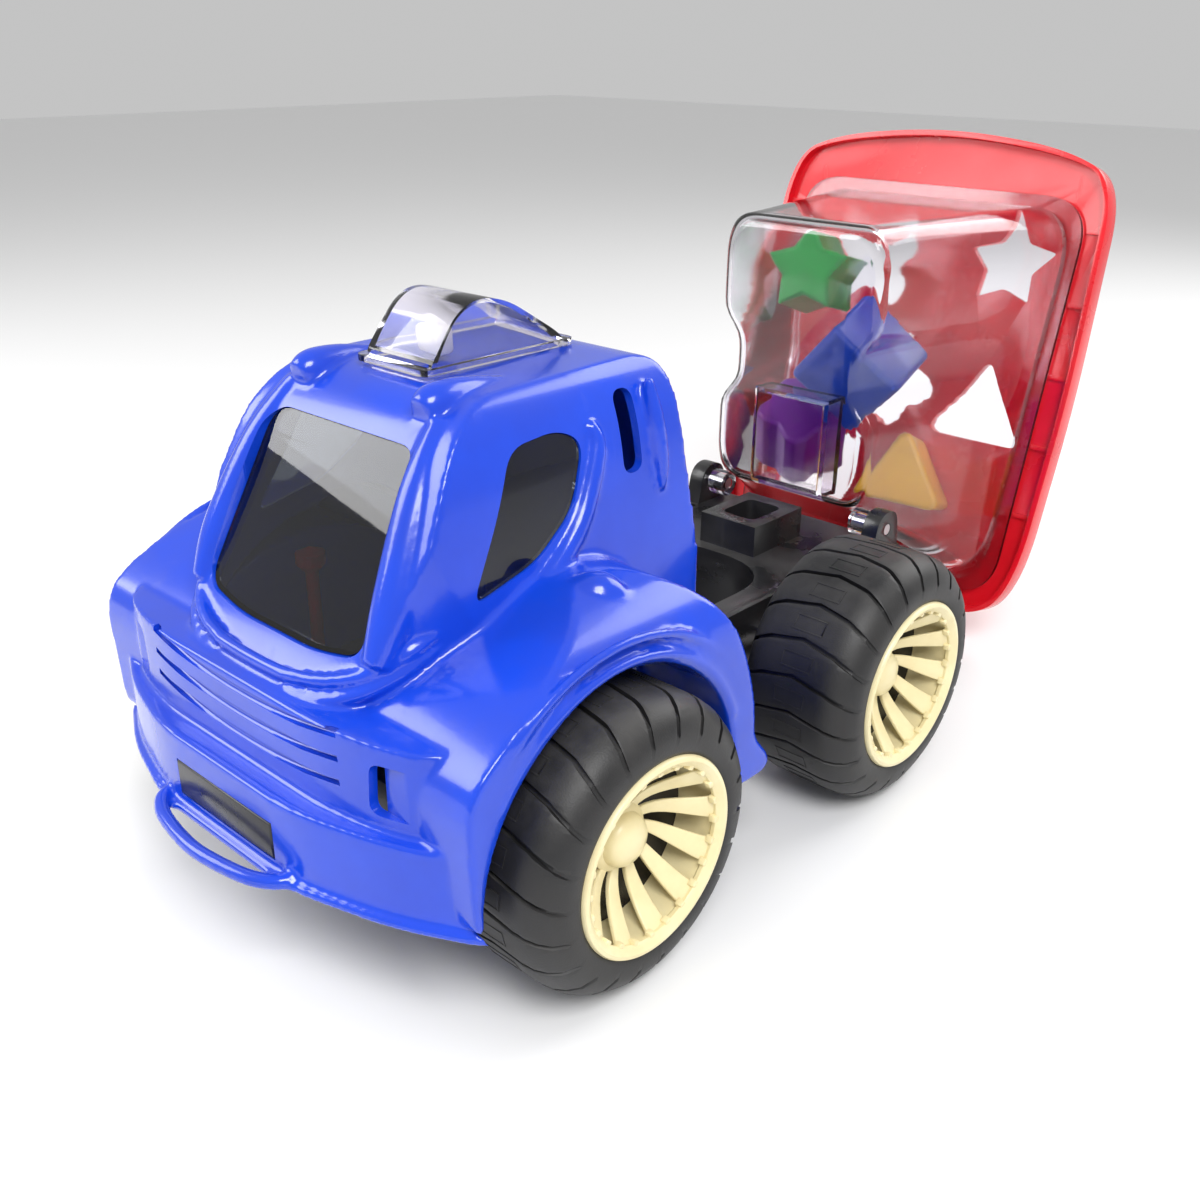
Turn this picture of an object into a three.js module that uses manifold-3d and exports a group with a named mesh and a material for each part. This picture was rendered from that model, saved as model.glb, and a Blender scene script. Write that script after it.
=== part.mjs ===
// Toy tipper truck with a clear shape-sorter bin. Millimetres, +Z up, the truck faces -Y.
// Sizes are given from the middle of the front axle on the ground; the group at the end
// moves the toy so that its own middle is the origin.

import * as THREE from 'three';
import { mergeVertices } from 'three/addons/utils/BufferGeometryUtils.js';
import { RoundedBoxGeometry } from 'three/addons/geometries/RoundedBoxGeometry.js';
import Module from 'manifold-3d';

const wasm = await Module();
wasm.setup();

// Fit between two parts that touch.
const gap = 0.3;

// Wheels and axles.
const wheelRadius = 50;
const wheelBase = 151;
const tyreInner = 65;
const tyreWidth = 49;
const rimRadius = 33.5;
const tyreBore = 31;
const axleRadius = 3;
const axleEnd = 98;
const archRadius = 57;

// Cab.
const wall = 3;
const cabHalfWidth = 60;
const roofHalfWidth = 47;
const roofHeight = 180;
const cabRear = 84;
const fenderHalfWidth = 98.5;
const skirtHeight = 42;
const cabFoot = 45;

// Chassis.
const chassisHalfWidth = 45;
const chassisFront = -46;
const chassisRear = 240;
const chassisFloor = 38;
const deckHeight = 66;
const blockHeight = 80;
const screwRadius = 1.6;

// Bin, lid and their hinge.
const hingeY = 228;
const hingeZ = 76;
const hingePinRadius = 2.5;
const binFloor = 222;
const binBottom = hingeZ + 5;
const binTop = 205;
const binMouthBottom = 30;
const binFloorHalf = 42;
const binMouthHalf = 72;
const pinchHalf = 34;
const pinchRadius = 26;
const pinchZ = 141;
const binWall = 2.4;
const lidHalfWidth = 89.8;
const lidTilt = THREE.MathUtils.degToRad(14.4);
const lidThickness = 3.2;
const lidPointY = 329;
const lidPointZ = 150;
const lidBottom = -139;
const lidTop = 86;
const blockClearance = 1.6;

// Colours.
const blue = 0x0a3fd6;
const black = 0x17171a;
const cream = 0xd8c39a;
const clear = 0xe9e4f4;
const smoked = 0x23262c;
const red = 0xe0122c;
const steel = 0xb4b6ba;

const alongX = new THREE.Matrix4().makeBasis(
  new THREE.Vector3(0, 1, 0),
  new THREE.Vector3(0, 0, 1),
  new THREE.Vector3(1, 0, 0),
);
const alongY = new THREE.Matrix4().makeBasis(
  new THREE.Vector3(1, 0, 0),
  new THREE.Vector3(0, 0, 1),
  new THREE.Vector3(0, -1, 0),
);

function toSolid(geometry) {
  geometry.deleteAttribute('normal');
  geometry.deleteAttribute('uv');
  const merged = mergeVertices(geometry, 1e-4);
  return new wasm.Manifold(new wasm.Mesh({
    numProp: 3,
    vertProperties: Float32Array.from(merged.attributes.position.array),
    triVerts: Uint32Array.from(merged.index.array),
  }));
}

function toGeometry(solid) {
  const mesh = solid.getMesh();
  const geometry = new THREE.BufferGeometry();
  geometry.setAttribute('position', new THREE.BufferAttribute(mesh.vertProperties, 3));
  geometry.setIndex(new THREE.BufferAttribute(mesh.triVerts, 1));
  geometry.computeVertexNormals();
  return geometry;
}

function join(solids) {
  return solids.reduce((whole, solid) => whole.add(solid));
}

// A closed outline through the given corners, each corner rounded off.
function outline(corners, radius) {
  const shape = new THREE.Shape();
  corners.forEach((corner, index) => {
    const here = new THREE.Vector2(corner[0], corner[1]);
    const before = new THREE.Vector2(...corners.at(index - 1));
    const after = new THREE.Vector2(...corners[(index + 1) % corners.length]);
    const reachBack = Math.min(radius, here.distanceTo(before) * 0.49);
    const reachOn = Math.min(radius, here.distanceTo(after) * 0.49);
    const start = here.clone().add(before.sub(here).setLength(reachBack));
    const end = here.clone().add(after.sub(here).setLength(reachOn));
    if (index === 0) {
      shape.moveTo(start.x, start.y);
    } else {
      shape.lineTo(start.x, start.y);
    }
    shape.quadraticCurveTo(here.x, here.y, end.x, end.y);
  });
  shape.closePath();
  return shape;
}

// The outline's corners with their mirror images on the other side of the middle plane.
function mirrored(corners) {
  const other = corners.map(([x, y]) => [-x, y]).reverse();
  return [...corners, ...other];
}

function extruded(shape, depth, segments = 4) {
  return new THREE.ExtrudeGeometry(shape, { depth, bevelEnabled: false, curveSegments: segments });
}

// Side view outline (Y, Z), pushed along X from one x to another.
function sideways(shape, from, to, segments) {
  return toSolid(extruded(shape, to - from, segments).applyMatrix4(alongX).translate(from, 0, 0));
}

// Front view outline (X, Z), pushed along Y from one y to another.
function lengthways(shape, from, to, segments) {
  return toSolid(extruded(shape, to - from, segments).applyMatrix4(alongY).translate(0, to, 0));
}

// Plan outline (X, Y), pushed up from one z to another.
function upright(shape, from, to, segments) {
  return toSolid(extruded(shape, to - from, segments).translate(0, 0, from));
}

function box(x0, x1, y0, y1, z0, z1) {
  const geometry = new THREE.BoxGeometry(x1 - x0, y1 - y0, z1 - z0);
  return toSolid(geometry.translate((x0 + x1) / 2, (y0 + y1) / 2, (z0 + z1) / 2));
}

function rod(radius, x0, x1, y, z, segments = 18) {
  const geometry = new THREE.CylinderGeometry(radius, radius, x1 - x0, segments);
  return toSolid(geometry.rotateZ(Math.PI / 2).translate((x0 + x1) / 2, y, z));
}

function post(radius, x, y, z0, z1, segments = 12) {
  const geometry = new THREE.CylinderGeometry(radius, radius, z1 - z0, segments);
  return toSolid(geometry.rotateX(Math.PI / 2).translate(x, y, (z0 + z1) / 2));
}

function bothSides(build) {
  return join([-1, 1].map(build));
}

// ---- Cab ----

// The glasshouse and nose as one rounded form, or the space inside it when set back by the wall.
function cabCore(inset) {
  const side = outline([
    [-67 + inset, cabFoot - inset * 20],
    [-67 + inset, 95],
    [-53 + inset, 107 - inset * 0.6],
    [-22 + inset, 169],
    [-6 + inset, roofHeight - inset],
    [cabRear - 12 - inset, roofHeight + 1 - inset],
    [cabRear - 5 - inset, roofHeight - 6 - inset],
    [cabRear - inset, 100],
    [cabRear - inset, cabFoot - inset * 20],
  ], 9);
  const front = outline(mirrored([
    [cabHalfWidth - inset, 20],
    [cabHalfWidth - inset, 108],
    [roofHalfWidth + 4 - inset, roofHeight - 14],
    [roofHalfWidth - 6 - inset, roofHeight + 4 - inset],
  ]), 12);
  const plan = outline(mirrored([
    [cabHalfWidth - inset, 100],
    [cabHalfWidth - inset, -28],
    [cabHalfWidth - 24 - inset, -64 + inset],
    [18, -68 + inset],
  ]), 20);
  return sideways(side, -cabHalfWidth, cabHalfWidth, 3)
    .intersect(lengthways(front, -90, 100, 3))
    .intersect(upright(plan, -20, 200, 3));
}

// Both front fenders with the band between them, cut later by the wheel arches.
function fenderForm(inset) {
  const side = outline([
    [-60 + inset, skirtHeight - inset * 8],
    [-62 + inset, 92 - inset],
    [-48 + inset, 103 - inset],
    [-22 + inset, 115 - inset],
    [8, 127 - inset],
    [30 - inset * 0.5, 126 - inset],
    [48 - inset, 115 - inset],
    [61 - inset, 94],
    [69 - inset, 70],
    [69 - inset, 56],
    [79 - inset, 46],
    [79 - inset, 38 - inset * 8],
    [60, 38 - inset * 8],
    [0, 70 - inset * 8],
    [-50, 60 - inset * 8],
  ], 12);
  const front = outline(mirrored([
    [fenderHalfWidth - inset, 0],
    [fenderHalfWidth - inset, 108],
    [fenderHalfWidth - 12 - inset, 121 - inset],
    [cabHalfWidth + 8, 126 - inset],
    [cabHalfWidth - 10, 130],
  ]), 13);
  const half = fenderHalfWidth - inset;
  const behindCab = box(-cabHalfWidth + 3 - inset, cabHalfWidth - 3 + inset, cabRear - inset, 120, -50, 150);
  return sideways(side, -half, half, 3).intersect(lengthways(front, -90, 110, 2)).subtract(behindCab);
}

// The bowed nose between the headlights, above the bumper.
function noseForm(inset) {
  const corners = mirrored([
    [cabHalfWidth + 26 - inset, -34],
    [cabHalfWidth + 22 - inset, -60 + inset],
    [cabHalfWidth + 4, -66.5 + inset],
    [cabHalfWidth - 19, -70 + inset],
  ]);
  return upright(outline(corners, 9), cabFoot - inset * 5, 98 - inset, 3);
}

function bumperForm(inset) {
  const corners = mirrored([
    [102 - inset, -36 - inset],
    [102 - inset, -54 + inset * 0.6],
    [72, -69 + inset],
    [36, -79 + inset],
  ]);
  return upright(outline(corners, 9), skirtHeight - inset * 5, 70 - inset, 3);
}

function bumperLip() {
  const corners = mirrored([[104, -36], [104, -56], [73, -71.5], [36, -82]]);
  const inner = mirrored([[99, -20], [99, -52.2], [71, -66], [35, -76]]);
  return upright(outline(corners, 9), skirtHeight, skirtHeight + 3, 3)
    .subtract(upright(outline(inner, 9), skirtHeight - 1, skirtHeight + 4, 3));
}

function wheelWell(radius, inner, y) {
  return bothSides((side) => rod(radius, Math.min(side * inner, side * 130),
    Math.max(side * inner, side * 130), y, wheelRadius, 36));
}

function headlight(side) {
  const shape = outline([[-60, 70], [-61, 86], [-54, 96], [-46, 100], [-44, 70]], 4);
  const x0 = side > 0 ? cabHalfWidth - 4 : -cabHalfWidth - 20;
  return sideways(shape, x0, x0 + 24, 3);
}

function roofLamp(side) {
  const geometry = new THREE.CapsuleGeometry(6.3, 16, 3, 10);
  geometry.rotateX(THREE.MathUtils.degToRad(-8)).translate(side * 30.6, -3, roofHeight - 2.5);
  return toSolid(geometry);
}

function towRing() {
  const curve = new THREE.CatmullRomCurve3([
    new THREE.Vector3(-33, -74, skirtHeight + 2.6),
    new THREE.Vector3(-33, -82, skirtHeight + 2.6),
    new THREE.Vector3(-20, -88.5, skirtHeight + 2.6),
    new THREE.Vector3(0, -91, skirtHeight + 2.6),
    new THREE.Vector3(20, -88.5, skirtHeight + 2.6),
    new THREE.Vector3(33, -82, skirtHeight + 2.6),
    new THREE.Vector3(33, -74, skirtHeight + 2.6),
  ]);
  const ring = new THREE.Shape();
  ring.absarc(0, 0, 2.6, 0, Math.PI * 2, false);
  const options = { steps: 12, extrudePath: curve, bevelEnabled: false, curveSegments: 3 };
  return toSolid(new THREE.ExtrudeGeometry(ring, options));
}

const screwSpots = [[-36, -30], [36, -30], [-36, 68], [36, 68]];

// A post above the chassis deck, webbed to the nearest cab wall, which takes one screw.
function cabPost([x, y]) {
  const end = Math.sign(x) * (cabHalfWidth - 1);
  const toSide = box(Math.min(x, end), Math.max(x, end), y - 1.5, y + 1.5, deckHeight + gap, 84);
  const toRear = box(x - 1.5, x + 1.5, y, cabRear - 1, deckHeight + gap, 84);
  return post(5, x, y, deckHeight + gap, 84).add(y > 0 ? toRear : toSide);
}

function windshieldOpening(shrink) {
  return lengthways(outline(mirrored([
    [41.5 - shrink, 110 + shrink],
    [35.7 - shrink, 166.5 - shrink],
  ]), 9), -90, 10, 4);
}

function sideWindowOpening(side, shrink) {
  const shape = outline([
    [-22 + shrink, 123 + shrink],
    [-8 + shrink, 146],
    [1 + shrink, 165 - shrink],
    [22 - shrink, 166.5 - shrink],
    [32 - shrink, 161],
    [24 - shrink, 141],
    [6, 129 + shrink],
  ], 5);
  return sideways(shape, Math.min(0, side * 90), Math.max(0, side * 90), 3);
}

function intakeSlot(side) {
  const shape = outline([[49, 146], [49, 173], [58, 173], [58, 146]], 4.4);
  return sideways(shape, Math.min(side * 30, side * 90), Math.max(side * 30, side * 90), 3);
}

function intakeRib(side) {
  const spine = new THREE.CapsuleGeometry(2.2, 30, 2, 8);
  const lean = Math.atan2(cabHalfWidth - roofHalfWidth - 4, roofHeight - 14 - 108);
  return toSolid(spine.rotateX(Math.PI / 2).rotateY(-side * lean).translate(side * (cabHalfWidth - 7.4), 64, 158));
}

function grilleGroove(z) {
  const path = new THREE.CatmullRomCurve3([-56, -36, 0, 36, 56].map((x) => (
    new THREE.Vector3(x, -70.5 + 0.006 * x * x * (Math.abs(x) > 40 ? 1 : 0.4), z + x * x * 0.0012))));
  const shape = new THREE.Shape();
  shape.absarc(0, 0, 2.4, 0, Math.PI * 2, false);
  const options = { steps: 8, extrudePath: path, bevelEnabled: false, curveSegments: 2 };
  return toSolid(new THREE.ExtrudeGeometry(shape, options));
}

function cabShell() {
  let skin = join([cabCore(0), fenderForm(0), noseForm(0), bumperForm(0)]);
  skin = skin.subtract(wheelWell(archRadius, cabHalfWidth, 0));
  let inside = join([fenderForm(wall), noseForm(wall), bumperForm(wall)]);
  inside = inside.subtract(wheelWell(archRadius + wall, cabHalfWidth - wall, 0));
  inside = inside.add(cabCore(wall).subtract(wheelWell(archRadius + wall, cabHalfWidth - wall, 0)));
  let cab = skin.subtract(inside);
  cab = join([cab, bothSides(headlight), bothSides(roofLamp), bothSides(intakeRib)]);
  cab = join([cab, bumperLip(), towRing()]).subtract(wheelWell(archRadius, cabHalfWidth, 0));
  screwSpots.forEach((spot) => {
    cab = cab.add(cabPost(spot)).subtract(post(screwRadius + gap, ...spot, 60, 80));
  });
  cab = cab.subtract(windshieldOpening(0)).subtract(bothSides((side) => sideWindowOpening(side, 0)));
  cab = cab.subtract(bothSides(intakeSlot));
  [79, 87, 95].forEach((z) => {
    cab = cab.subtract(grilleGroove(z));
  });
  const axleSlot = box(-cabHalfWidth - 2, cabHalfWidth + 2, -axleRadius - 1.5, axleRadius + 1.5,
    20, wheelRadius).add(rod(axleRadius + 1.5, -cabHalfWidth - 2, cabHalfWidth + 2, 0, wheelRadius));
  cab = cab.subtract(axleSlot).subtract(numberPlateSeat());
  const frameWay = box(-chassisHalfWidth - gap, chassisHalfWidth + gap, chassisFront - gap,
    200, 0, deckHeight + gap);
  return toGeometry(cab.subtract(frameWay));
}

function windowPane(opening) {
  return toGeometry(cabCore(0.2).subtract(cabCore(wall - 0.2)).intersect(opening));
}

function numberPlateSeat() {
  return box(-27, 27, -90, -77.2, 47.5, 61);
}

function numberPlate() {
  const plate = new RoundedBoxGeometry(53.4, 1.6, 12.9, 1, 0.7);
  return plate.translate(0, -78.1, 54.25);
}

function gearLever() {
  const points = [[0, 0], [7, 0], [7, 2.5], [2.2, 4], [2.2, 46], [5, 49], [5, 53], [0, 55]];
  const profile = points.map(([radius, height]) => new THREE.Vector2(radius, height));
  return new THREE.LatheGeometry(profile, 12).rotateX(Math.PI / 2).translate(-20, -24, deckHeight + gap);
}

function beaconCover() {
  const foot = roofHeight + 1 + gap;
  const profile = (inset) => outline([
    [-1 + inset, foot - inset * 3],
    [7 + inset, foot + 10],
    [14, foot + 18 - inset],
    [22, foot + 21 - inset],
    [34, foot + 18.5 - inset],
    [58 - inset, foot + 4 - inset],
    [60 - inset, foot - inset * 3],
  ], 6);
  const hood = sideways(profile(0), -16, 16, 4);
  const room = sideways(profile(1.6), -14.4, 14.4, 4);
  const flange = outline([[-18, -3], [18, -3], [18, 64], [-18, 64]], 4);
  const plate = upright(flange, foot, foot + 2, 3);
  const lowRoom = box(-14.4, 14.4, 1, 57, roofHeight, foot + 3);
  return toGeometry(hood.add(plate).subtract(room).subtract(lowRoom));
}

function beaconLamp() {
  const lamp = new RoundedBoxGeometry(10, 10, 10.6, 1, 2);
  return lamp.translate(0, 17, roofHeight + 1 + gap * 2 + 5.3);
}

// ---- Chassis ----

function chassisFrame() {
  const half = chassisHalfWidth;
  let frame = box(-half, half, chassisFront, chassisRear, chassisFloor, deckHeight);
  const room = (y0, y1) => box(wall - half, half - wall, y0, y1, chassisFloor - 1, deckHeight - wall);
  frame = frame.subtract(room(chassisFront + wall, 84)).subtract(room(180, chassisRear - wall));
  const opening = outline(mirrored([[33, 88], [33, 160], [16, 174]]), 14);
  frame = frame.subtract(upright(opening, 0, 100, 4));
  frame = frame.add(box(-15, 15, 180, 216, deckHeight - 1, blockHeight));
  const socket = outline(mirrored([[9, 187], [9, 209]]), 4);
  frame = frame.subtract(upright(socket, blockHeight - 11, blockHeight + 1, 4));
  const ear = outline([[hingeY - 13, deckHeight - 8], [hingeY - 8, hingeZ + 6],
    [hingeY, hingeZ + 9], [hingeY + 8, hingeZ + 6], [hingeY + 11, deckHeight - 8]], 6);
  frame = frame.add(bothSides((side) => sideways(ear, Math.min(side * 45.5, side * 53),
    Math.max(side * 45.5, side * 53), 4)));
  frame = frame.add(bothSides((side) => box(Math.min(side * 42, side * 53), Math.max(side * 42,
    side * 53), hingeY - 13, chassisRear, 54, deckHeight)));
  screwSpots.forEach(([x, y]) => {
    frame = frame.add(post(4.4, x, y, chassisFloor, deckHeight));
    frame = frame.subtract(post(screwRadius + gap, x, y, 0, 100));
    frame = frame.subtract(post(3.2, x, y, 0, deckHeight - 9));
  });
  [0, wheelBase].forEach((y) => {
    const collars = bothSides((side) => rod(6.5, Math.min(side * 36, side * half),
      Math.max(side * 36, side * half), y, wheelRadius));
    frame = frame.add(collars).subtract(rod(axleRadius + gap, -80, 80, y, wheelRadius));
  });
  frame = frame.subtract(rod(hingePinRadius + gap, -53.5, 53.5, hingeY, hingeZ));
  return toGeometry(frame);
}

function screw(x, y) {
  const profile = [[0, -9], [2.8, -9], [2.8, -7.4], [screwRadius, -6.6], [screwRadius, 10], [0, 11.2]];
  const points = profile.map(([radius, height]) => new THREE.Vector2(radius, height));
  const geometry = new THREE.LatheGeometry(points, 12).rotateX(Math.PI / 2);
  return geometry.translate(x, y, deckHeight - 2.6);
}

function axle(y) {
  return new THREE.CylinderGeometry(axleRadius, axleRadius, axleEnd * 2, 20)
    .rotateZ(Math.PI / 2).translate(0, y, wheelRadius);
}

function axleWasher(y, side) {
  const disc = rod(axleRadius + 2.2, -1.2, 1.2, y, wheelRadius);
  const hole = rod(axleRadius + gap, -3, 3, y, wheelRadius);
  return toGeometry(disc.subtract(hole).translate([side * (axleEnd - 2.4), 0, 0]));
}

// ---- Wheels: each is turned about X, its outer face towards +X before it is placed ----

function tyre() {
  const profile = [
    [tyreBore, 2], [tyreBore, tyreWidth - 4], [rimRadius + 1.5, tyreWidth],
    [41, tyreWidth - 0.5], [46.5, tyreWidth - 4], [wheelRadius, tyreWidth - 9],
    [wheelRadius, 6], [46.5, 2], [41, 0], [tyreBore + 4, 0], [tyreBore, 2],
  ];
  const points = profile.map(([radius, along]) => new THREE.Vector2(radius, -along));
  return new THREE.LatheGeometry(points, 36).rotateZ(Math.PI / 2);
}

function hub() {
  const face = tyreWidth + 0.6;
  const profile = [
    [axleRadius + gap, -4.5], [11, -4.5], [12.5, 17], [27.5, 21], [tyreBore - gap, 22],
    [tyreBore - gap, tyreWidth - 3.7], [rimRadius, face - 0.4], [31.5, face], [29.5, face - 2.5],
    [26, 31], [15, 25], [13, 27], [9.5, 33.6], [axleRadius + 2.6, 33.6],
    [axleRadius + 2.6, 29], [axleRadius + gap, 29], [axleRadius + gap, -4.5],
  ];
  const points = profile.map(([radius, along]) => new THREE.Vector2(radius, -along));
  let solid = toSolid(new THREE.LatheGeometry(points.reverse(), 24).rotateZ(Math.PI / 2));
  if (solid.volume() < 0) {
    throw new Error('hub profile runs the wrong way');
  }
  const bladeCount = 12;
  for (let blade = 0; blade < bladeCount; blade += 1) {
    const slot = new THREE.BoxGeometry(30, 10, 3.4);
    slot.translate(26, 21, 0).rotateX((blade / bladeCount) * Math.PI * 2);
    solid = solid.subtract(toSolid(slot));
  }
  return toGeometry(solid);
}

function axleCap() {
  const profile = [[0, 0.3], [5.3, 0.3], [9, 0.3], [9, 2], [6, 4.6], [0, 5.6]];
  const points = profile.map(([radius, along]) => new THREE.Vector2(radius, along));
  return new THREE.LatheGeometry(points, 16).rotateZ(-Math.PI / 2).translate(33.6, 0, 0);
}

// ---- Bin ----

function lidPlane(z) {
  return lidPointY + (z - lidPointZ) * Math.tan(lidTilt);
}

// A long cone that draws the bin's side in where a rear wheel passes.
function binPinch(side, inset) {
  const length = 110;
  const cone = new THREE.CylinderGeometry(2, pinchRadius + inset * 0.6, length, 20);
  return toSolid(cone.translate(side * (pinchHalf + pinchRadius), binFloor + length / 2 - 4, pinchZ));
}

// The bin's outside form, or the room inside it when set in by the wall.
function binForm(inset, past) {
  const corners = mirrored([[binMouthHalf, binMouthBottom], [binMouthHalf, binTop]]);
  const geometry = new THREE.ExtrudeGeometry(outline(corners, 20), {
    depth: 1, steps: 4, bevelEnabled: false, curveSegments: 4,
  });
  const place = geometry.attributes.position;
  for (let index = 0; index < place.count; index += 1) {
    const depth = 1 - place.getZ(index);
    const share = (place.getY(index) - binMouthBottom) / (binTop - binMouthBottom);
    const wide = place.getX(index) / binMouthHalf;
    const lowest = THREE.MathUtils.lerp(binBottom, binMouthBottom, depth) + inset;
    const z = THREE.MathUtils.lerp(lowest, binTop - inset, share);
    const half = THREE.MathUtils.lerp(binFloorHalf, binMouthHalf, depth ** 1.15) - inset;
    const back = lidPlane(z) - (lidThickness + gap) / Math.cos(lidTilt) + past;
    place.setXYZ(index, wide * half, THREE.MathUtils.lerp(binFloor + inset, back, depth), z);
  }
  return toSolid(geometry).subtract(bothSides((side) => binPinch(side, inset)));
}

function lidFrame(solid) {
  return solid.rotate([-THREE.MathUtils.radToDeg(lidTilt), 0, 0]).translate([0, lidPointY, lidPointZ]);
}

// A plan outline in the lid's own face, pushed along its outward normal.
function inLidFace(shape, from, to, segments) {
  return lidFrame(lengthways(shape, from, to, segments));
}

function mouthFlange() {
  const rise = (binTop - lidPointZ) / Math.cos(lidTilt);
  const fall = (binMouthBottom - lidPointZ) / Math.cos(lidTilt);
  const shape = outline(mirrored([[binMouthHalf + 4, fall - 4], [binMouthHalf + 4, rise + 4]]), 20);
  return inLidFace(shape, -lidThickness - gap - 2.4, -lidThickness - gap, 5);
}

function binTub() {
  const pocket = (inset) => box(-18 + inset, 18 - inset, binFloor - 20, 234 - inset + 0,
    hingeZ + (hingeY - 219) + inset, hingeZ + (hingeY - 177) - inset);
  let tub = binForm(0, 0).add(mouthFlange()).subtract(binForm(binWall, 12));
  tub = tub.add(box(-20.4, 20.4, binFloor, 236.4, 82.6, 129.4)).subtract(pocket(0));
  const lug = (side) => rod(6, Math.min(side * 35.5, side * 44.5), Math.max(side * 35.5, side * 44.5),
    hingeY, hingeZ);
  tub = tub.add(bothSides(lug));
  return toGeometry(tub.subtract(rod(hingePinRadius + gap, -60, 60, hingeY, hingeZ)));
}

function hingePin(side) {
  return new THREE.CylinderGeometry(hingePinRadius, hingePinRadius, 16.5, 16)
    .rotateZ(Math.PI / 2).translate(side * 44.6, hingeY, hingeZ);
}

// Shapes of the sorter: each outline is used for a hole and, a little smaller, for its block.
function star(size) {
  const shape = new THREE.Shape();
  for (let tip = 0; tip < 10; tip += 1) {
    const reach = tip % 2 === 0 ? size : size * 0.56;
    const angle = Math.PI / 2 + tip * Math.PI / 5;
    shape[tip === 0 ? 'moveTo' : 'lineTo'](Math.cos(angle) * reach, Math.sin(angle) * reach);
  }
  shape.closePath();
  return shape;
}

function clover(size) {
  const points = [];
  for (let step = 0; step < 30; step += 1) {
    const angle = step * Math.PI / 15;
    const reach = size * (0.84 + 0.16 * Math.cos(angle * 5));
    points.push(new THREE.Vector2(Math.cos(angle) * reach, Math.sin(angle) * reach));
  }
  return new THREE.Shape(points);
}

function butterfly(size) {
  return outline(mirrored([
    [0.1 * size, -0.55 * size], [0.75 * size, -0.95 * size], [1.05 * size, -0.35 * size],
    [0.62 * size, 0], [1.1 * size, 0.4 * size], [0.8 * size, 1.0 * size], [0.12 * size, 0.6 * size],
  ]), size * 0.3);
}

function square(size) {
  return outline([[-size, -size], [size, -size], [size, size], [-size, size]], 3);
}

function triangle(size) {
  return outline([[-size, -size * 0.8], [size, -size * 0.8], [0, size * 0.95]], 6);
}

const sorter = [
  { shape: star, size: 19.5, x: 43.6, v: 29 },
  { shape: butterfly, size: 22, x: -29.4, v: 22 },
  { shape: triangle, size: 21, x: 46, v: -37 },
  { shape: clover, size: 23.5, x: -4, v: -35 },
  { shape: square, size: 20.5, x: -36, v: -89 },
];

function sorterHole({ shape, size, x, v }) {
  return lengthways(shape(size + blockClearance), -40, 40, 5).translate([x, 0, v]);
}

function lid() {
  const corners = (out) => mirrored([
    [74 + out, lidBottom - out], [lidHalfWidth - 2 + out, lidBottom + 24], [lidHalfWidth + out, -30],
    [lidHalfWidth - 4 + out, 70], [60, lidTop - 5 + out], [18, lidTop + out],
  ]);
  const face = lengthways(outline(corners(0), 26), -lidThickness, 0, 5);
  const bead = lengthways(outline(corners(0), 26), -8, 2.2, 5);
  const within = lengthways(outline(corners(-3), 24), -9, 4, 5);
  let solid = face.add(bead.subtract(within));
  [-85, -52, -19, 14, 47].forEach((v) => {
    solid = solid.add(bothSides((side) => box(Math.min(side * 77, side * 85),
      Math.max(side * 77, side * 85), -0.5, 1, v - 1.2, v + 1.2)));
  });
  sorter.forEach((entry) => {
    const collar = sorterHole({ ...entry, size: entry.size + 1.8 });
    const slab = box(-100, 100, -lidThickness - 0, 1, -150, 100);
    solid = solid.add(collar.intersect(slab)).subtract(sorterHole(entry));
  });
  return toGeometry(lidFrame(solid));
}

// A solid block of a sorter shape, with softened ends.
function sorterBlock({ shape, size }, height) {
  return new THREE.ExtrudeGeometry(shape(size - 1.5), {
    depth: height - 3, bevelEnabled: true, bevelSize: 1.5, bevelThickness: 1.5,
    bevelSegments: 1, curveSegments: 5,
  }).translate(0, 0, 1.5 - height / 2);
}

// ---- Assembly ----

const truck = new THREE.Group();
truck.name = 'toy_tipper_truck';

function addPart(name, geometry, material, parent = truck) {
  const mesh = new THREE.Mesh(geometry, new THREE.MeshStandardMaterial({ metalness: 0, ...material }));
  mesh.name = name;
  parent.add(mesh);
  return mesh;
}

addPart('cab_shell', cabShell(), { color: blue, roughness: 0.3 });
addPart('windshield', windowPane(windshieldOpening(gap)), { color: smoked, roughness: 0.2 });
[['left', -1], ['right', 1]].forEach(([name, side]) => {
  const pane = windowPane(sideWindowOpening(side, gap));
  addPart(`side_window_${name}`, pane, { color: smoked, roughness: 0.2 });
});
addPart('beacon_cover', beaconCover(), { color: clear, roughness: 0.1 });
addPart('beacon_lamp', beaconLamp(), { color: 0xf3f1ea, roughness: 0.4 });
addPart('number_plate', numberPlate(), { color: black, roughness: 0.4 });
addPart('gear_lever', gearLever(), { color: red, roughness: 0.35 });
addPart('chassis_frame', chassisFrame(), { color: black, roughness: 0.5 });
screwSpots.forEach(([x, y], index) => {
  addPart(`cab_screw_${index + 1}`, screw(x, y), { color: steel, roughness: 0.35, metalness: 1 });
});
addPart('front_axle', axle(0), { color: steel, roughness: 0.3, metalness: 1 });
addPart('rear_axle', axle(wheelBase), { color: steel, roughness: 0.3, metalness: 1 });
[['front', 0], ['rear', wheelBase]].forEach(([row, y]) => {
  [['left', -1], ['right', 1]].forEach(([name, side]) => {
    const washer = axleWasher(y, side);
    addPart(`axle_washer_${row}_${name}`, washer, { color: steel, roughness: 0.4, metalness: 1 });
  });
});

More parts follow.
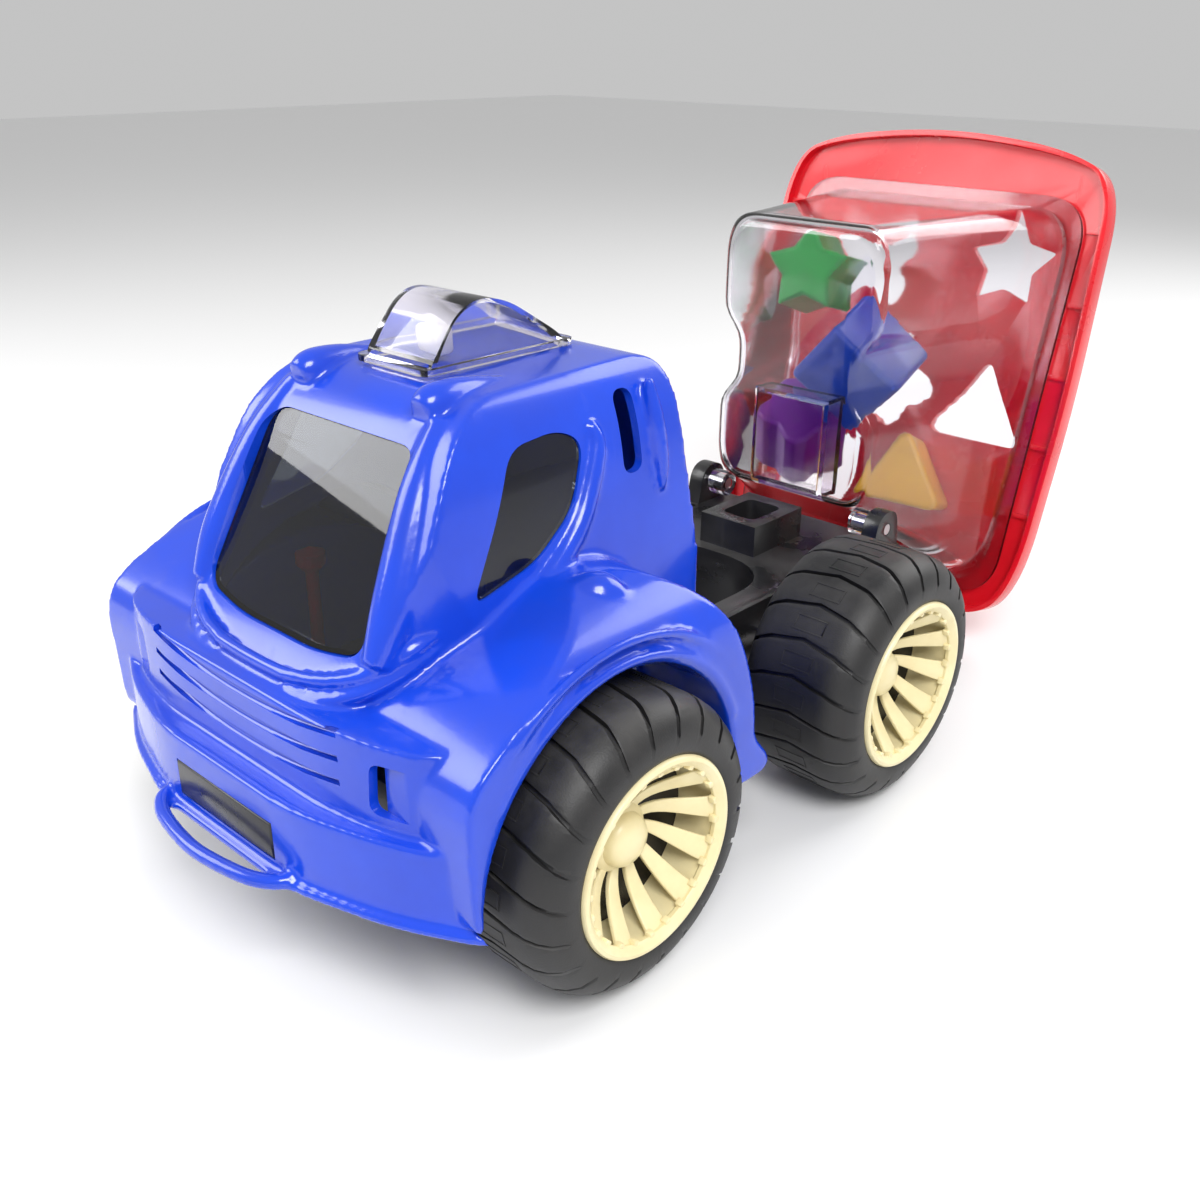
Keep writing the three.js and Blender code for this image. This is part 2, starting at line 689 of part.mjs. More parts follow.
[['front', 0], ['rear', wheelBase]].forEach(([row, y]) => {
  [['left', -1], ['right', 1]].forEach(([name, side]) => {
    const wheel = new THREE.Group();
    wheel.name = `${row}_${name}_wheel`;
    wheel.position.set(side * tyreInner, y, wheelRadius);
    wheel.rotation.z = side > 0 ? 0 : Math.PI;
    addPart(`tyre_${row}_${name}`, tyre(), { color: black, roughness: 0.6 }, wheel);
    addPart(`hub_${row}_${name}`, hub(), { color: cream, roughness: 0.4 }, wheel);
    addPart(`axle_cap_${row}_${name}`, axleCap(), { color: cream, roughness: 0.35 }, wheel);
    truck.add(wheel);
  });
});

addPart('bin_tub', binTub(), { color: clear, roughness: 0.12 });
addPart('hinge_pin_left', hingePin(-1), { color: steel, roughness: 0.3, metalness: 1 });
addPart('hinge_pin_right', hingePin(1), { color: steel, roughness: 0.3, metalness: 1 });
addPart('bin_lid', lid(), { color: red, roughness: 0.3 });

const blocks = [
  { name: 'block_square', entry: sorter[4], color: 0x0b45b5, at: [8, 266, 137], turn: [0.1, 0.75, 0.2] },
  { name: 'block_star', entry: sorter[0], color: 0x11a53f, at: [-32, 288, 172], turn: [1.3, 0.2, 0.1] },
  { name: 'block_clover', entry: sorter[3], color: 0x7a2fa0, at: [-24, 270, 97], turn: [0.5, 0.3, 0.1] },
  { name: 'block_triangle', entry: sorter[2], color: 0xf4a90c, at: [28, 287, 83], turn: [1.2, 0.25, 0.1] },
];
blocks.forEach(({ name, entry, color, at, turn }) => {
  const block = addPart(name, sorterBlock(entry, 36), { color, roughness: 0.35 });
  block.position.set(...at);
  block.rotation.set(...turn);
});

truck.updateMatrixWorld(true);
const bounds = new THREE.Box3().setFromObject(truck, true);
truck.position.y = -(bounds.min.y + bounds.max.y) / 2;
truck.position.z = -bounds.min.z;

export default truck;
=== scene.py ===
import math
import bpy
from mathutils import Matrix, Vector


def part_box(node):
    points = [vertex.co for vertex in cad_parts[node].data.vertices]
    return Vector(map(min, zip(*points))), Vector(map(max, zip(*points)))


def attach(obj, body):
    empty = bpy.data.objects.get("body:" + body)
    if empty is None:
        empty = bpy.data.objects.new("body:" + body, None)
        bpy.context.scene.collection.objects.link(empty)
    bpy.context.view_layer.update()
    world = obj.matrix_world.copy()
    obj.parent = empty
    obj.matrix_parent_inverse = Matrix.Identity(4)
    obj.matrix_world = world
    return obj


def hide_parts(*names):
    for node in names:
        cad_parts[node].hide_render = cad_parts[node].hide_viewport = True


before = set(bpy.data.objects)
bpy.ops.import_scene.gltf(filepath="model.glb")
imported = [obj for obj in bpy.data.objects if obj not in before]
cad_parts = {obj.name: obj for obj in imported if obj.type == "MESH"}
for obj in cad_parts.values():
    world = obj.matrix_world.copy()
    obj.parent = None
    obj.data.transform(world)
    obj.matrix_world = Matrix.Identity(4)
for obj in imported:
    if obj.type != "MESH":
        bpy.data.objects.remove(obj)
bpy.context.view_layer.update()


axleLow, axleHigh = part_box("front_axle")
frontAxle = (axleLow + axleHigh) / 2
sides = {"left": -1, "right": 1}
rows = {"front": 0.0, "rear": 151.0}


def at(x, y, z):  # millimetres from the ground under the front axle's middle
    return Vector((x / 1000, y / 1000 + frontAxle.y, z / 1000))


view = {"place": (310.45, -241.19, 278.96), "right": (0.73371, 0.67943, 0.00692),
        "up": (-0.28827, 0.30204, 0.90867), "lens": 37.35, "sensor": 36.0}


def makeCamera():
    data = bpy.data.cameras.new("viewCamera")
    camera = bpy.data.objects.new("viewCamera", data)
    bpy.context.collection.objects.link(camera)
    right, up = Vector(view["right"]), Vector(view["up"])
    turn = Matrix((right, up, right.cross(up))).transposed()
    camera.matrix_world = Matrix.Translation(at(*view["place"])) @ turn.to_4x4()
    data.lens, data.sensor_width = view["lens"], view["sensor"]
    data.clip_start, data.clip_end = 0.01, 50
    bpy.context.scene.camera = camera


studio = {"floorColor": (0.88, 0.88, 0.88, 1), "floorRoughness": 0.55, "skyColor": (1, 1, 1, 1), "skyStrength": 0.55,
          "lamps": [("keyLamp", (0.75, -0.55, 1.05), 0.55, 13), ("sideLamp", (-0.8, -0.75, 0.75), 0.7, 9),
                    ("backLamp", (0.3, 1.1, 0.9), 0.8, 9)]}


def makeStudio():
    deselectAll()
    bpy.ops.mesh.primitive_plane_add(size=8, location=(0, 0, -0.0002))
    floor = bpy.context.object
    floor.name = "floor"
    floor.data.materials.append(floorMaterial())
    world = bpy.data.worlds.new("softSky")
    world.use_nodes = True
    world.node_tree.nodes["Background"].inputs["Color"].default_value = studio["skyColor"]
    world.node_tree.nodes["Background"].inputs["Strength"].default_value = studio["skyStrength"]
    bpy.context.scene.world = world
    bpy.context.scene.view_settings.view_transform = "Standard"
    for name, place, size, power in studio["lamps"]:
        lamp = bpy.data.lights.new(name, "AREA")
        lamp.size, lamp.energy = size, power
        holder = bpy.data.objects.new(name, lamp)
        bpy.context.collection.objects.link(holder)
        holder.location = place
        holder.rotation_mode = "QUATERNION"
        holder.rotation_quaternion = (Vector(place) - Vector((0, 0, 0.1))).to_track_quat("Z", "Y")


def newGroup(name, inputs, outputs):
    group = bpy.data.node_groups.new(name, "ShaderNodeTree")
    for label, kind, value in inputs:
        socket = group.interface.new_socket(label, in_out="INPUT", socket_type=kind)
        socket.default_value = value
    for label, kind in outputs:
        group.interface.new_socket(label, in_out="OUTPUT", socket_type=kind)
    return group, group.nodes.new("NodeGroupInput"), group.nodes.new("NodeGroupOutput")


def addNode(tree, kind, values=None, links=None):
    node = tree.nodes.new(kind)
    for key, value in (values or {}).items():
        if isinstance(key, int) or key in node.inputs:
            node.inputs[key].default_value = value
        else:
            setattr(node, key, value)
    for key, source in (links or {}).items():
        tree.links.new(source, node.inputs[key])
    return node


def plasticFinishGroup():
    number, colour = "NodeSocketFloat", "NodeSocketColor"
    group, start, end = newGroup("plasticFinish", [
        ("Base", colour, (0.5, 0.5, 0.5, 1)), ("Shade", colour, (0.4, 0.4, 0.4, 1)), ("Mottle Scale", number, 30),
        ("Grain Scale", number, 1200), ("Scratch Scale", number, 160), ("Smooth", number, 0.2),
        ("Dull", number, 0.4), ("Dust", number, 0.05)],
        [("Color", colour), ("Roughness", number), ("Height", number)])
    place = addNode(group, "ShaderNodeTexCoord").outputs["Object"]
    mottle = addNode(group, "ShaderNodeTexNoise", {"Detail": 4, "Roughness": 0.6},
                     {"Vector": place, "Scale": start.outputs["Mottle Scale"]})
    mottleMask = addNode(group, "ShaderNodeMapRange", {"From Min": 0.35, "From Max": 0.68},
                         {"Value": mottle.outputs["Fac"]})
    grain = addNode(group, "ShaderNodeTexNoise", {"Detail": 2},
                    {"Vector": place, "Scale": start.outputs["Grain Scale"]})
    turned = addNode(group, "ShaderNodeMapping", {"Rotation": (0.4, 0.7, 0.5), "Scale": (1, 1, 0.045)},
                     {"Vector": place})
    scratch = addNode(group, "ShaderNodeTexNoise", {"Detail": 1, "Distortion": 0.4},
                      {"Vector": turned.outputs["Vector"], "Scale": start.outputs["Scratch Scale"]})
    scratchMask = addNode(group, "ShaderNodeMapRange", {"From Min": 0.7, "From Max": 0.76},
                          {"Value": scratch.outputs["Fac"]})
    upward = addNode(group, "ShaderNodeSeparateXYZ", None,
                     {"Vector": addNode(group, "ShaderNodeNewGeometry").outputs["Normal"]})
    dustMask = addNode(group, "ShaderNodeMath", {"operation": "MULTIPLY"},
                       {0: addNode(group, "ShaderNodeMapRange", {"From Min": 0.3, "From Max": 1.0},
                                   {"Value": upward.outputs["Z"]}).outputs["Result"],
                        1: mottleMask.outputs["Result"]})
    dust = addNode(group, "ShaderNodeMath", {"operation": "MULTIPLY"},
                   {0: dustMask.outputs["Value"], 1: start.outputs["Dust"]})
    tone = addNode(group, "ShaderNodeMix", {"data_type": "RGBA"},
                   {0: mottleMask.outputs["Result"], 6: start.outputs["Base"], 7: start.outputs["Shade"]})
    dusty = addNode(group, "ShaderNodeMix", {"data_type": "RGBA", 7: (0.6, 0.58, 0.54, 1)},
                    {0: dust.outputs["Value"], 6: tone.outputs[2]})
    wear = addNode(group, "ShaderNodeMath", {"operation": "ADD", "use_clamp": True},
                   {0: mottleMask.outputs["Result"], 1: scratchMask.outputs["Result"]})
    rough = addNode(group, "ShaderNodeMapRange", None, {
        "Value": wear.outputs["Value"], "To Min": start.outputs["Smooth"], "To Max": start.outputs["Dull"]})
    scored = addNode(group, "ShaderNodeMath", {"operation": "MULTIPLY", 1: -0.6},
                     {0: scratchMask.outputs["Result"]})
    height = addNode(group, "ShaderNodeMath", {"operation": "ADD"},
                     {0: grain.outputs["Fac"], 1: scored.outputs["Value"]})
    group.links.new(dusty.outputs[2], end.inputs["Color"])
    group.links.new(rough.outputs["Result"], end.inputs["Roughness"])
    group.links.new(height.outputs["Value"], end.inputs["Height"])
    return group


finishes = {
    "bluePlastic": {"base": (0.004, 0.055, 0.62), "shade": (0.003, 0.043, 0.52), "smooth": 0.16, "dull": 0.26,
                    "mottle": 22, "grain": 900, "bump": 0.05, "coat": 0.35, "dust": 0.02},
    "redPlastic": {"base": (0.78, 0.006, 0.016), "shade": (0.66, 0.004, 0.012), "smooth": 0.2, "dull": 0.32,
                   "mottle": 26, "grain": 900, "bump": 0.05, "coat": 0.25, "dust": 0.02},
    "creamPlastic": {"base": (0.84, 0.75, 0.46), "shade": (0.78, 0.67, 0.38), "smooth": 0.28, "dull": 0.42,
                     "mottle": 60, "grain": 1400, "bump": 0.06, "coat": 0.1, "dust": 0.03},
    "blackPlastic": {"base": (0.009, 0.009, 0.010), "shade": (0.014, 0.013, 0.014), "smooth": 0.24, "dull": 0.4,
                     "mottle": 40, "grain": 1500, "bump": 0.08, "coat": 0.1, "dust": 0.05},
    "tyreRubber": {"base": (0.011, 0.011, 0.012), "shade": (0.018, 0.017, 0.017), "smooth": 0.42, "dull": 0.58,
                   "mottle": 45, "grain": 1800, "bump": 0.16, "coat": 0.0, "dust": 0.06},
    "whitePlastic": {"base": (0.85, 0.84, 0.82), "shade": (0.78, 0.77, 0.75), "smooth": 0.3, "dull": 0.42,
                     "mottle": 60, "grain": 1200, "bump": 0.05, "coat": 0.1, "dust": 0.02},
    "blueBlock": {"base": (0.006, 0.06, 0.50), "shade": (0.005, 0.05, 0.42), "smooth": 0.3, "dull": 0.45,
                  "mottle": 40, "grain": 1200, "bump": 0.08, "coat": 0.1, "dust": 0.02},
    "greenBlock": {"base": (0.008, 0.42, 0.055), "shade": (0.006, 0.36, 0.045), "smooth": 0.3, "dull": 0.45,
                   "mottle": 40, "grain": 1200, "bump": 0.08, "coat": 0.1, "dust": 0.02},
    "purpleBlock": {"base": (0.24, 0.02, 0.40), "shade": (0.2, 0.016, 0.34), "smooth": 0.3, "dull": 0.45,
                    "mottle": 40, "grain": 1200, "bump": 0.08, "coat": 0.1, "dust": 0.02},
    "yellowBlock": {"base": (0.9, 0.47, 0.006), "shade": (0.84, 0.4, 0.005), "smooth": 0.3, "dull": 0.45,
                    "mottle": 40, "grain": 1200, "bump": 0.08, "coat": 0.1, "dust": 0.02},
}
clearFinishes = {
    "clearPlastic": {"tint": (0.97, 0.95, 1.0), "roughness": 0.03, "transmission": 1.0, "bump": 0.02},
    # window glazing: the dark smoke tint is painted shade, standing in for the unlit inside of the cab
    "paintedShadeGlazing": {"tint": (0.22, 0.24, 0.28), "roughness": 0.01, "transmission": 1.0, "bump": 0.01},
}


def newMaterial(name):
    material = bpy.data.materials.new(name)
    material.use_nodes = True
    tree = material.node_tree
    return material, tree, tree.nodes["Principled BSDF"]


def plasticMaterial(name):
    finish = finishes[name]
    material, tree, shader = newMaterial(name)
    surface = addNode(tree, "ShaderNodeGroup", {"node_tree": finishGroup})
    surface.inputs["Base"].default_value = (*finish["base"], 1)
    surface.inputs["Shade"].default_value = (*finish["shade"], 1)
    for socket, key in (("Mottle Scale", "mottle"), ("Grain Scale", "grain"), ("Smooth", "smooth"),
                        ("Dull", "dull"), ("Dust", "dust")):
        surface.inputs[socket].default_value = finish[key]
    bump = addNode(tree, "ShaderNodeBump", {"Strength": finish["bump"], "Distance": 0.0004},
                   {"Height": surface.outputs["Height"]})
    tree.links.new(surface.outputs["Color"], shader.inputs["Base Color"])
    tree.links.new(surface.outputs["Roughness"], shader.inputs["Roughness"])
    tree.links.new(bump.outputs["Normal"], shader.inputs["Normal"])
    shader.inputs["Coat Weight"].default_value = finish["coat"]
    shader.inputs["Coat Roughness"].default_value = 0.08
    shader.inputs["IOR"].default_value = 1.5
    return material


def clearMaterial(name):
    finish = clearFinishes[name]
    material, tree, shader = newMaterial(name)
    place = addNode(tree, "ShaderNodeTexCoord").outputs["Object"]
    ripple = addNode(tree, "ShaderNodeTexNoise", {"Scale": 45, "Detail": 3}, {"Vector": place})
    shade = tuple(value * 0.96 for value in finish["tint"])
    tone = addNode(tree, "ShaderNodeMix", {"data_type": "RGBA", 6: (*finish["tint"], 1), 7: (*shade, 1)},
                   {0: ripple.outputs["Fac"]})
    rough = addNode(tree, "ShaderNodeMapRange", {"To Min": finish["roughness"], "To Max": finish["roughness"] * 3},
                    {"Value": ripple.outputs["Fac"]})
    bump = addNode(tree, "ShaderNodeBump", {"Strength": finish["bump"], "Distance": 0.001},
                   {"Height": ripple.outputs["Fac"]})
    tree.links.new(tone.outputs[2], shader.inputs["Base Color"])
    tree.links.new(rough.outputs["Result"], shader.inputs["Roughness"])
    tree.links.new(bump.outputs["Normal"], shader.inputs["Normal"])
    shader.inputs["Transmission Weight"].default_value = finish["transmission"]
    shader.inputs["IOR"].default_value = 1.47
    return material


def steelMaterial():
    material, tree, shader = newMaterial("zincSteel")
    place = addNode(tree, "ShaderNodeTexCoord").outputs["Object"]
    streaks = addNode(tree, "ShaderNodeTexNoise", {"Scale": 500, "Detail": 3}, {"Vector": place})
    rough = addNode(tree, "ShaderNodeMapRange", {"To Min": 0.22, "To Max": 0.4}, {"Value": streaks.outputs["Fac"]})
    tone = addNode(tree, "ShaderNodeMix", {"data_type": "RGBA", 6: (0.62, 0.62, 0.63, 1), 7: (0.5, 0.5, 0.52, 1)},
                   {0: streaks.outputs["Fac"]})
    tree.links.new(tone.outputs[2], shader.inputs["Base Color"])
    tree.links.new(rough.outputs["Result"], shader.inputs["Roughness"])
    shader.inputs["Metallic"].default_value = 1
    return material


def floorMaterial():
    material, tree, shader = newMaterial("paleFloor")
    shader.inputs["Base Color"].default_value = studio["floorColor"]
    shader.inputs["Roughness"].default_value = studio["floorRoughness"]
    return material


def deselectAll():
    if bpy.context.object and bpy.context.object.mode != "OBJECT":
        bpy.ops.object.mode_set(mode="OBJECT")
    bpy.ops.object.select_all(action="DESELECT")


def activate(piece):
    deselectAll()
    piece.select_set(True)
    bpy.context.view_layer.objects.active = piece


def meshPiece(name, points, faces):
    mesh = bpy.data.meshes.new(name)
    mesh.from_pydata([tuple(point) for point in points], [], faces)
    mesh.update()
    piece = bpy.data.objects.new(name, mesh)
    bpy.context.collection.objects.link(piece)
    activate(piece)
    return piece


def editMesh(piece, *steps):
    activate(piece)
    bpy.ops.object.mode_set(mode="EDIT")
    bpy.ops.mesh.select_all(action="SELECT")
    for step in steps:
        step()
    bpy.ops.object.mode_set(mode="OBJECT")


def faceOutwards(piece):
    editMesh(piece, lambda: bpy.ops.mesh.remove_doubles(threshold=0.00001),
             lambda: bpy.ops.mesh.normals_make_consistent(inside=False))


def addModifier(piece, kind, **values):
    activate(piece)
    modifier = piece.modifiers.new(kind.lower(), kind)
    for key, value in values.items():
        setattr(modifier, key, value)
    bpy.ops.object.modifier_apply(modifier=modifier.name)


def boolean(piece, cutter, operation, keep=False):
    addModifier(piece, "BOOLEAN", object=cutter, operation=operation, solver="EXACT")
    if not keep:
        bpy.data.objects.remove(cutter)
    return piece


def joined(pieces):
    deselectAll()
    for piece in pieces:
        piece.select_set(True)
    bpy.context.view_layer.objects.active = pieces[0]
    bpy.ops.object.join()
    return bpy.context.object


def copied(piece, name):
    copy = piece.copy()
    copy.data = piece.data.copy()
    copy.name = name
    bpy.context.collection.objects.link(copy)
    return copy


def mirrored(corners):
    return list(corners) + [(-x, y) for x, y in reversed(corners)]


def roundedPath(corners, radius, segments=8):
    path = []
    for index, corner in enumerate(corners):
        here = Vector(corner)
        before = Vector(corners[index - 1]) - here
        after = Vector(corners[(index + 1) % len(corners)]) - here
        first = here + before.normalized() * min(radius, before.length * 0.49)
        last = here + after.normalized() * min(radius, after.length * 0.49)
        for step in range(segments + 1):
            share = step / segments
            path.append(first.lerp(here, share).lerp(here.lerp(last, share), share))
    return path


def prism(name, path, axis, start, end):  # an outline in the plane across the axis, pushed along it
    place = {"X": lambda a, b, c: at(c, a, b), "Y": lambda a, b, c: at(a, c, b), "Z": lambda a, b, c: at(a, b, c)}
    points = [place[axis](a, b, start) for a, b in path]
    piece = meshPiece(name, points, [tuple(range(len(points)))])
    reach = {"X": (1, 0, 0), "Y": (0, 1, 0), "Z": (0, 0, 1)}[axis]
    push = tuple(value * (end - start) / 1000 for value in reach)
    editMesh(piece, lambda: bpy.ops.mesh.extrude_region_move(TRANSFORM_OT_translate={"value": push}))
    faceOutwards(piece)
    return piece


def tube(name, points, radius, sides=10, tilt=0.0):
    points = [at(*point) for point in points]
    rings, faces = [], []
    for index, point in enumerate(points):
        along = (points[min(index + 1, len(points) - 1)] - points[max(index - 1, 0)]).normalized()
        across = along.cross(Vector((0.13, 0.21, 0.97))).normalized()
        other = along.cross(across)
        size = (radius[index] if isinstance(radius, (list, tuple)) else radius) / 1000
        for step in range(sides):
            angle = 2 * math.pi * step / sides
            rings.append(point + across * math.cos(angle) * size + other * math.sin(angle) * size)
    for ring in range(len(points) - 1):
        for step in range(sides):
            a, b = ring * sides + step, ring * sides + (step + 1) % sides
            faces.append((a, b, b + sides, a + sides))
    faces.append(tuple(range(sides)))
    faces.append(tuple(range((len(points) - 1) * sides, len(points) * sides)))
    piece = meshPiece(name, rings, faces)
    faceOutwards(piece)
    return piece


def curved(points, steps=8):  # a smooth line through the given points
    places = [Vector(point) for point in points]
    line = []
    for index in range(len(places) - 1):
        one, two = places[index], places[index + 1]
        before, after = places[max(index - 1, 0)], places[min(index + 2, len(places) - 1)]
        for step in range(steps):
            share = step / steps
            line.append(0.5 * (2 * one + (two - before) * share
                               + (2 * before - 5 * one + 4 * two - after) * share ** 2
                               + (3 * one - before - 3 * two + after) * share ** 3))
    return line + [places[-1]]


def curvedTube(name, points, radii, ringSides):
    line = curved([(*point, radius) for point, radius in zip(points, radii)])
    return tube(name, [tuple(spot)[:3] for spot in line], [max(spot[3], 0.6) for spot in line], ringSides)


def lathe(name, profile, steps, centre=(0, 0, 0)):  # profile of (radius, x) in millimetres, spun about X
    points = [Vector((x / 1000, 0, radius / 1000)) for radius, x in profile]
    piece = meshPiece(name, points, [])
    piece.data.edges.add(len(points) - 1)
    for index in range(len(points) - 1):
        piece.data.edges[index].vertices = (index, index + 1)
    piece.data.update()
    editMesh(piece, lambda: bpy.ops.mesh.spin(steps=steps, angle=2 * math.pi, center=(0, 0, 0), axis=(1, 0, 0)))
    faceOutwards(piece)
    return piece


def smoothShade(piece, angle=35):
    activate(piece)
    bpy.ops.object.shade_smooth_by_angle(angle=math.radians(angle))


def finishPiece(piece, body, material, nodes=(), angle=35):
    piece.data.materials.clear()
    piece.data.materials.append(materials[material])
    smoothShade(piece, angle)
    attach(piece, body)
    if nodes:
        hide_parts(*nodes)
    return piece


def softened(node, name, width, segments=3, limit=32):  # a copy of a CAD node with its edges rounded
    piece = copied(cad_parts[node], name)
    piece.parent = None
    editMesh(piece, lambda: bpy.ops.mesh.remove_doubles(threshold=0.000002),
             lambda: bpy.ops.mesh.dissolve_limited(angle_limit=math.radians(1.5)))
    addModifier(piece, "BEVEL", width=width / 1000, segments=segments, limit_method="ANGLE",
                angle_limit=math.radians(limit), use_clamp_overlap=True, harden_normals=False)
    return piece


cab = {"halfWidth": 60, "roofHalf": 47, "roof": 180, "rear": 84, "foot": 45, "fenderHalf": 98.5, "skirt": 42,
       "wall": 3, "arch": 57, "voxel": 0.00095}


def cabCore(name, inset, segments=10):
    half, roof, rear = cab["halfWidth"] - inset, cab["roof"] - inset, cab["rear"] - inset
    foot = cab["foot"] - inset * 20
    side = roundedPath([(-67 + inset, foot), (-67 + inset, 92), (-54 + inset, 106 - inset * 0.6),
                        (-22 + inset, 168), (-6 + inset, roof), (rear - 12, roof + 1), (rear - 5, roof - 6),
                        (rear, 100), (rear, foot)], 11, segments)
    front = roundedPath(mirrored([(half, 20), (half, 108), (cab["roofHalf"] + 4 - inset, cab["roof"] - 14),
                                  (cab["roofHalf"] - 6 - inset, roof + 4)]), 14, segments)
    plan = roundedPath(mirrored([(half, 100), (half, -28), (half - 22, -63 + inset), (16, -67.6 + inset)]), 26,
                       segments)
    piece = prism(name, side, "X", -70, 70)
    boolean(piece, prism("frontForm", front, "Y", -95, 105), "INTERSECT")
    return boolean(piece, prism("planForm", plan, "Z", -25, 200), "INTERSECT")


def fenderForm(name, inset):
    skirt = cab["skirt"] - inset * 8
    side = roundedPath([(-60 + inset, skirt), (-62 + inset, 92 - inset), (-48 + inset, 103 - inset),
                        (-22 + inset, 115 - inset), (8, 126.6 - inset), (30 - inset * 0.5, 125.6 - inset),
                        (48 - inset, 115 - inset), (61 - inset, 94), (69 - inset, 70), (69 - inset, 56),
                        (78.8 - inset, 46), (78.8 - inset, 39 - inset * 8), (60, 39 - inset * 8),
                        (0, 70 - inset * 8), (-50, 60 - inset * 8)], 12, 8)
    half = cab["fenderHalf"] - inset
    front = roundedPath(mirrored([(half, 0), (half, 108), (half - 12, 121 - inset),
                                  (cab["halfWidth"] + 8, 126 - inset), (cab["halfWidth"] - 10, 130)]), 13, 10)
    piece = prism(name, side, "X", -half, half)
    boolean(piece, prism("fenderFront", front, "Y", -95, 115), "INTERSECT")
    back = [(-57 - inset, cab["rear"] - inset), (57 + inset, cab["rear"] - inset), (57 + inset, 130),
            (-57 - inset, 130)]
    return boolean(piece, prism("fenderGap", [Vector(corner) for corner in back], "Z", -60, 160), "DIFFERENCE")


def noseForm(name, inset):
    half = cab["halfWidth"]
    path = roundedPath(mirrored([(half + 26 - inset, -34), (half + 22 - inset, -59.8 + inset),
                                 (half + 4, -66.3 + inset), (half - 19, -69.8 + inset)]), 9, 8)
    return prism(name, path, "Z", cab["foot"] - inset * 5, 98 - inset)


def roundRod(name, radius, x0, x1, y, z, sides=96):
    deselectAll()
    bpy.ops.mesh.primitive_cylinder_add(vertices=sides, radius=radius / 1000, depth=abs(x1 - x0) / 1000,
                                        location=at((x0 + x1) / 2, y, z), rotation=(0, math.pi / 2, 0))
    bpy.ops.object.transform_apply(location=True, rotation=True, scale=True)
    piece = bpy.context.object
    piece.name = name
    return piece


def boxPiece(name, low, high):
    corners = [(low[0], low[1]), (high[0], low[1]), (high[0], high[1]), (low[0], high[1])]
    return prism(name, [Vector(corner) for corner in corners], "Z", low[2], high[2])


def headlight(side):
    half = cab["halfWidth"]
    profile = roundedPath([(-60, 70), (-60.8, 86), (-54, 96), (-46, 100), (-44, 70)], 4, 6)
    return prism("headlightBox", profile, "X", *sorted((side * (half - 4), side * (half + 20))))


def headlightEye(side):
    eye = roundedPath([(side * 61, 75), (side * 77, 75), (side * 76, 92), (side * 62, 92)], 4, 6)
    return prism("headlightEye", eye, "Y", -75, -62.6)


def arcPoints(radius, x, start, end, count=40):
    angles = [math.radians(start + (end - start) * step / count) for step in range(count + 1)]
    return [(x, radius * math.cos(angle), 50 + radius * math.sin(angle)) for angle in angles]


def bumper(inset):
    path = roundedPath(mirrored([(101.5 - inset, -36 - inset), (101.5 - inset, -54 + inset * 0.6),
                                 (72, -69 + inset), (36, -78.6 + inset)]), 14, 10)
    return prism("bumperForm", path, "Z", cab["skirt"] - inset * 5, 70 - inset)


def lip(out, low, high):
    path = roundedPath(mirrored([(102 + out, -36), (102 + out, -54 - out), (73, -69.5 - out),
                                 (36, -80 - out)]), 12, 10)
    return prism("bumperLip", path, "Z", low, high)


def wells(radius, inner):
    return joined([roundRod("well", radius, side * inner, side * 130, 0, 50) for side in (-1, 1)])


def windshieldShape(shrink, name="windshieldHole"):
    path = roundedPath([(41.5 - shrink, 111 + shrink), (36.0 - shrink, 167 - shrink), (-36.0 + shrink, 167 - shrink),
                        (-41.5 + shrink, 111 + shrink), (-20, 107.5 + shrink), (20, 107.5 + shrink)], 8, 8)
    return prism(name, path, "Y", -95, 12)


def sideWindowShape(side, shrink, name="sideHole"):
    path = roundedPath([(-22 + shrink, 123 + shrink), (-8 + shrink, 146), (1 + shrink, 165 - shrink),
                        (22 - shrink, 166.5 - shrink), (32 - shrink, 161), (24 - shrink, 141),
                        (6, 129 + shrink)], 7, 8)
    return prism(name, path, "X", *sorted((side * 10, side * 90)))


